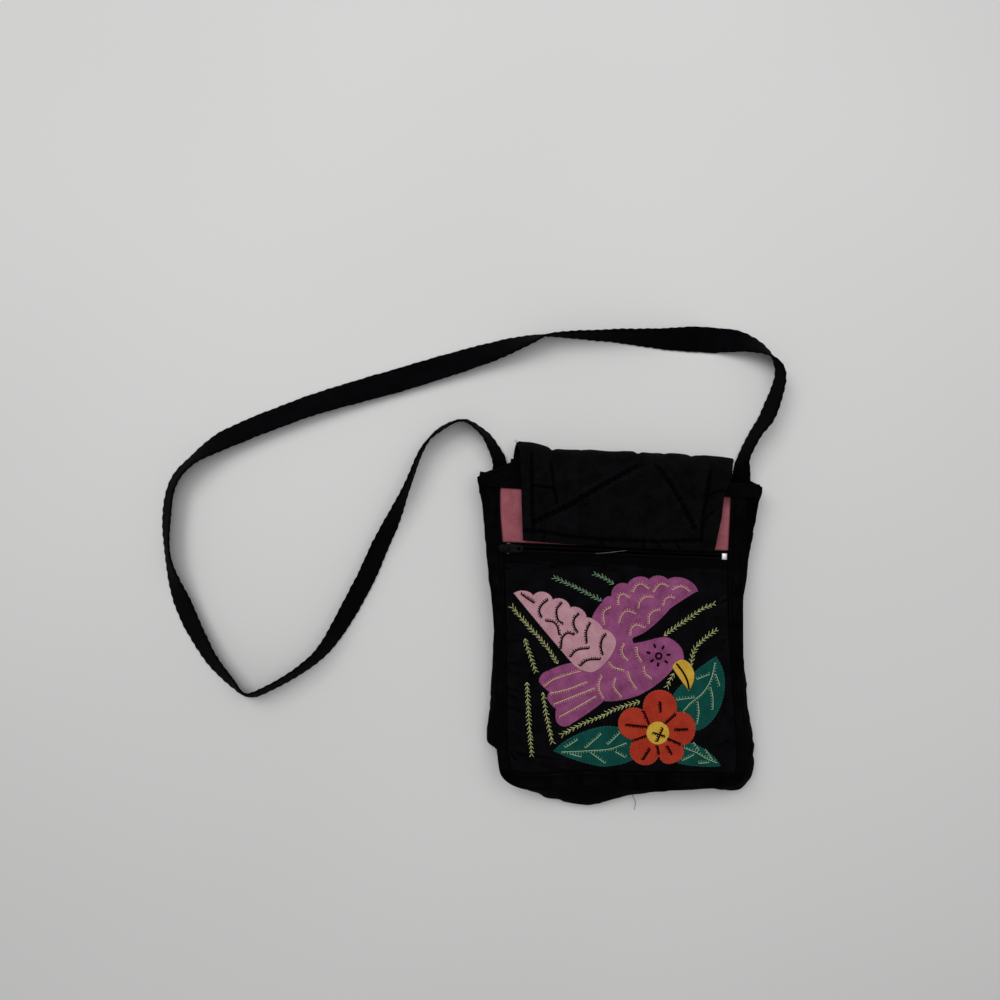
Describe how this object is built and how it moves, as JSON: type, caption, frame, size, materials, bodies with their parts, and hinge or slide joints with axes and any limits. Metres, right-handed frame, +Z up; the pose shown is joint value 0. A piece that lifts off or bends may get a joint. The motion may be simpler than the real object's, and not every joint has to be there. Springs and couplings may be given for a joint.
{
  "type": "crossbody bag",
  "caption": "Soft cloth crossbody pouch with folded side walls, padded flap, zip with sliding slider and swinging pull, sewn-on bird and flower patches, and a long flat strap.",
  "frame": {"origin": "middle of the bag's footprint on the floor, strap left out", "axes": "+X along the zip to the wearer's left, +Y towards the flap, +Z up out of the front; the bag lies on its back"},
  "size_m": [0.4513, 0.3539, 0.0296],
  "materials": {
    "black_cotton": "plain-weave cotton, matt",
    "black_binding": "plain-weave cotton, matt",
    "black_strap": "folded and stitched cotton band",
    "pink_cotton": "plain-weave cotton, matt",
    "purple_cotton": "plain-weave cotton, matt",
    "rose_cotton": "plain-weave cotton, matt",
    "red_cotton": "plain-weave cotton, matt",
    "yellow_cotton": "plain-weave cotton, matt",
    "teal_cotton": "plain-weave cotton, matt",
    "zip_tape": "woven nylon tape",
    "zip_coil": "moulded nylon coil",
    "zip_silver": "bare bright metal",
    "zip_black": "black paint worn at the edges"
  },
  "bodies": {
    "bag": {"back_panel": "black_cotton", "gusset": "black_cotton", "front_panel": "black_cotton", "front_border": "black_binding", "yoke": "pink_cotton", "top_hem": "black_binding", "flap": "black_cotton", "strap": "black_strap", "zipper_tape_lower": "zip_tape", "zipper_tape_upper": "zip_tape", "zipper_teeth_lower": "zip_coil", "zipper_teeth_upper": "zip_coil", "zipper_stop": "zip_silver", "bird_body": "purple_cotton", "bird_wing": "rose_cotton", "bird_beak": "yellow_cotton", "leaf_right": "teal_cotton", "leaf_left": "teal_cotton", "leaf_small": "teal_cotton", "flower": "red_cotton", "flower_center": "yellow_cotton"},
    "slider": {"zipper_slider": "zip_black"},
    "pull": {"zipper_pull": "zip_black"}
  },
  "joints": [
    {"name": "slider_slide", "type": "slide", "parent": "bag", "child": "slider", "axis": [1, 0, 0], "range_m": [0, 0.146]},
    {"name": "pull_swing", "type": "hinge", "parent": "slider", "child": "pull", "pos_m": [-0.0838, 0.056, 0.0246], "axis": [0, -1, 0], "range_deg": [0, 170]}
  ]
}
